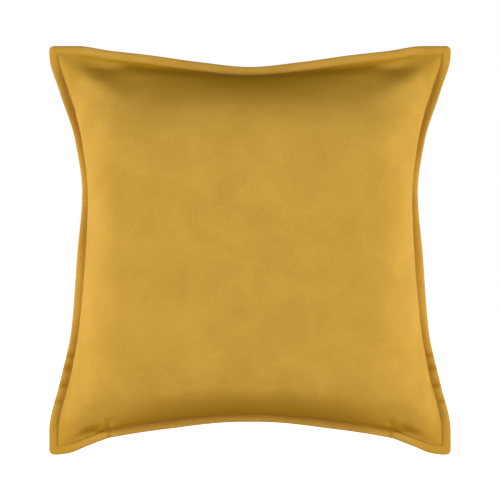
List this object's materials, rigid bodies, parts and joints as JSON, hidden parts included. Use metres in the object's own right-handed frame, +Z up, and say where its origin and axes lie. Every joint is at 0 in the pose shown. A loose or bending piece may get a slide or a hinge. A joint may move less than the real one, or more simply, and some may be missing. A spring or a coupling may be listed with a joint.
{
  "type": "throw pillow",
  "caption": "Square flanged throw pillow in soft suede-like cloth, with a coil zip low in its back and a fibre-filled insert.",
  "frame": {"origin": "under the middle of the pillow, level with its two bottom corners, in the plane of the flange", "axes": "+Z up the pillow as it stands, +X across it, -Y out of its front and +Y out of its back, where the zip is"},
  "size_m": [0.432, 0.1649, 0.4396],
  "materials": {
    "cover_cloth": "matte",
    "thread": "matte",
    "zip_tape": "matte",
    "zip_coil": "satin",
    "slider_metal": "satin",
    "label_satin": "satin",
    "insert_cloth": "matte",
    "insert_thread": "matte",
    "fibre": "matte"
  },
  "bodies": {
    "cover": {"front_panel": "cover_cloth", "back_panel_upper": "cover_cloth", "back_panel_lower": "cover_cloth", "needle_thread": "thread", "bobbin_thread": "thread", "zip_tape_upper": "zip_tape", "zip_tape_lower": "zip_tape", "zip_coil_upper": "zip_coil", "zip_coil_lower": "zip_coil", "zip_top_stop_upper": "slider_metal", "zip_top_stop_lower": "slider_metal", "zip_bottom_stop": "slider_metal", "zip_stitch_upper": "thread", "zip_stitch_lower": "thread", "bar_tack_left": "thread", "bar_tack_right": "thread", "care_label": "label_satin", "insert_casing_front": "insert_cloth", "insert_casing_back": "insert_cloth", "insert_seam_thread": "insert_thread", "insert_fill": "fibre"},
    "slider": {"zip_slider": "slider_metal"},
    "pull": {"zip_pull": "slider_metal"}
  },
  "joints": [
    {"name": "zip_slide", "type": "hinge", "parent": "cover", "child": "slider", "pos_m": [0, -0.8249, 0.075], "axis": [0, 0, 1], "range_deg": [0, 18.5]},
    {"name": "pull_pivot", "type": "hinge", "parent": "slider", "child": "pull", "pos_m": [0.14061, 0.03585, 0.07302], "axis": [-0.0735, -0.4497, -0.8901], "range_deg": [0, 175]}
  ]
}
